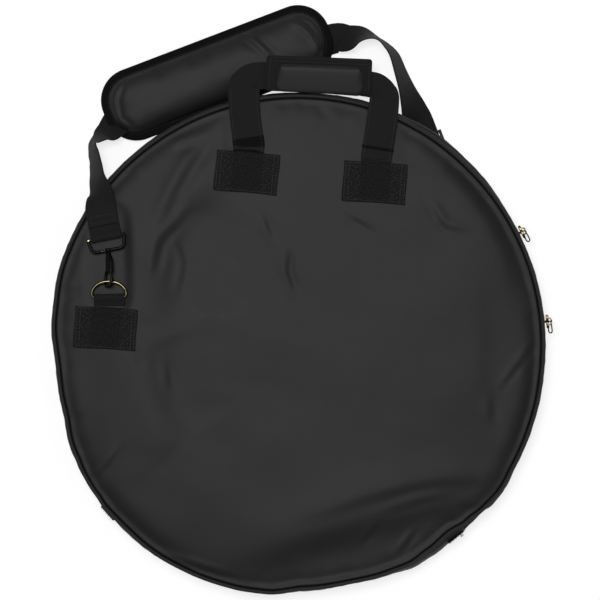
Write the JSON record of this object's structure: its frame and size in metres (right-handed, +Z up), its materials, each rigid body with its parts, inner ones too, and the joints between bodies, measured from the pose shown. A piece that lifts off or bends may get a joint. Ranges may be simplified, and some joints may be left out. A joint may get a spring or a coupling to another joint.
{
  "type": "cymbal bag",
  "caption": "Soft round zipped bag for cymbals, with piped edges, a padded wrap grip, a clip-on shoulder strap with a sliding pad, and a lid that folds open.",
  "frame": {"origin": "centre of the back panel's flat underside, on which the bag lies", "axes": "+Z up out of the front panel, +Y towards the handles, +X to the right seen from the front"},
  "size_m": [0.6211, 0.7258, 0.068],
  "materials": {
    "shell_fabric": "woven nylon, charcoal",
    "webbing": "flat woven webbing, black",
    "patch_fabric": "coarse woven, black",
    "piping": "binding tape over cord, black",
    "zip_tape": "fine twill tape, black",
    "zip_coil": "nylon coil, black",
    "dark_metal": "black nickel plating with warm glints",
    "gold_metal": "bright crimped end stops",
    "spring_steel": "bright spring wire"
  },
  "bodies": {
    "bag_body": {"back_panel": "shell_fabric", "back_piping": "piping", "back_gusset": "shell_fabric", "hinge_gusset": "shell_fabric", "front_panel_foot": "shell_fabric", "front_piping_foot": "piping", "zip_tape_back": "zip_tape", "zip_chain_back": "zip_coil", "zip_end_tab_right": "shell_fabric", "zip_end_tab_left": "shell_fabric", "zip_end_stop_right": "gold_metal", "zip_end_stop_left": "gold_metal", "back_handle_patch_right": "patch_fabric", "back_handle_patch_left": "patch_fabric", "back_ring_patch": "patch_fabric", "back_ring_loop": "webbing", "back_swivel_eye": "dark_metal", "back_strap_fold": "webbing", "strap_webbing_back": "webbing"},
    "lid": {"front_panel": "shell_fabric", "front_piping": "piping", "front_gusset": "shell_fabric", "zip_tape_front": "zip_tape", "zip_chain_front": "zip_coil", "front_handle_patch_right": "patch_fabric", "front_handle_patch_left": "patch_fabric", "front_ring_patch": "patch_fabric", "front_ring_loop": "webbing", "front_swivel_eye": "dark_metal", "front_strap_fold": "webbing", "strap_webbing_front": "webbing"},
    "front_handle": {"front_handle_webbing": "webbing", "grip_base": "shell_fabric", "grip_velcro_loop": "patch_fabric"},
    "grip_cover": {"grip_flap": "shell_fabric", "grip_velcro_hook": "patch_fabric"},
    "back_handle": {"back_handle_webbing": "webbing"},
    "front_ring": {"front_d_ring": "dark_metal"},
    "back_ring": {"back_d_ring": "dark_metal"},
    "front_hook": {"front_snap_hook": "dark_metal", "front_hook_spring": "spring_steel"},
    "back_hook": {"back_snap_hook": "dark_metal", "back_hook_spring": "spring_steel"},
    "front_bolt": {"front_hook_bolt": "dark_metal"},
    "back_bolt": {"back_hook_bolt": "dark_metal"},
    "upper_zip_slider": {"upper_slider": "dark_metal"},
    "upper_pull": {"upper_slider_pull": "dark_metal"},
    "lower_zip_slider": {"lower_slider": "dark_metal"},
    "lower_pull": {"lower_slider_pull": "dark_metal"},
    "pad": {"shoulder_pad": "shell_fabric", "pad_binding": "piping", "pad_sleeve": "webbing"},
    "adjuster": {"length_adjuster": "dark_metal"}
  },
  "joints": [
    {"name": "lid_fold", "type": "hinge", "parent": "bag_body", "child": "lid", "pos_m": [0, -0.21425, 0.052], "axis": [1, 0, 0], "range_deg": [0, 115], "deforming": ["strap_webbing_front"]},
    {"name": "front_handle_swing", "type": "hinge", "parent": "lid", "child": "front_handle", "pos_m": [0, 0.2344, 0.05048], "axis": [1, 0, 0], "range_deg": [0, 150]},
    {"name": "grip_cover_swing", "type": "hinge", "parent": "front_handle", "child": "grip_cover", "pos_m": [0, 0.3555, 0.04315], "axis": [-1, 0, 0], "range_deg": [0, 150]},
    {"name": "back_handle_swing", "type": "hinge", "parent": "bag_body", "child": "back_handle", "pos_m": [0, 0.2344, 0.0014], "axis": [1, 0, 0], "range_deg": [0, 150]},
    {"name": "front_ring_swing", "type": "hinge", "parent": "lid", "child": "front_ring", "pos_m": [-0.23454, 0.041, 0.05387], "axis": [0.9937, 0.0957, 0.058], "range_deg": [0, 5]},
    {"name": "back_ring_swing", "type": "hinge", "parent": "bag_body", "child": "back_ring", "pos_m": [0.215, 0.041, 0.0168], "axis": [-0.9925, -0.1219, 0], "range_deg": [0, 5]},
    {"name": "front_hook_swivel", "type": "hinge", "parent": "lid", "child": "front_hook", "pos_m": [-0.24006, 0.09759, 0.05514], "axis": [-0.0888, 0.9898, -0.1116], "range_deg": [-30, 9]},
    {"name": "back_hook_swivel", "type": "hinge", "parent": "bag_body", "child": "back_hook", "pos_m": [0.20807, 0.0974, 0.01462], "axis": [-0.1213, 0.988, 0.0958], "range_deg": [-25, 9]},
    {"name": "front_bolt_slide", "type": "slide", "parent": "front_hook", "child": "front_bolt", "axis": [-0.0888, 0.9898, -0.1116], "range_m": [0, 0.004], "stiffness_N_per_m": 150, "springref_m": -0.004, "deforming": ["front_hook_spring"]},
    {"name": "back_bolt_slide", "type": "slide", "parent": "back_hook", "child": "back_bolt", "axis": [-0.1213, 0.988, 0.0958], "range_m": [0, 0.004], "stiffness_N_per_m": 150, "springref_m": -0.004, "deforming": ["back_hook_spring"]},
    {"name": "upper_slider_run", "type": "hinge", "parent": "bag_body", "child": "upper_zip_slider", "pos_m": [0, 0, 0.026], "axis": [0, 0, 1], "range_deg": [-10, 188]},
    {"name": "upper_pull_swing", "type": "hinge", "parent": "upper_zip_slider", "child": "upper_pull", "pos_m": [0.26683, 0.1616, 0.026], "axis": [0, 0, 1], "range_deg": [0, 150]},
    {"name": "lower_slider_run", "type": "hinge", "parent": "bag_body", "child": "lower_zip_slider", "pos_m": [0, 0, 0.026], "axis": [0, 0, 1], "range_deg": [-50, 6]},
    {"name": "lower_pull_swing", "type": "hinge", "parent": "lower_zip_slider", "child": "lower_pull", "pos_m": [0.3074, 0.0531, 0.026], "axis": [0, 0, 1], "range_deg": [0, 150]},
    {"name": "pad_slide", "type": "slide", "parent": "bag_body", "child": "pad", "axis": [0.9033, 0.4289, 0], "range_m": [0, 0.012]},
    {"name": "adjuster_slide", "type": "slide", "parent": "bag_body", "child": "adjuster", "axis": [0.4312, -0.9022, 0], "range_m": [-0.015, 0.015]}
  ]
}
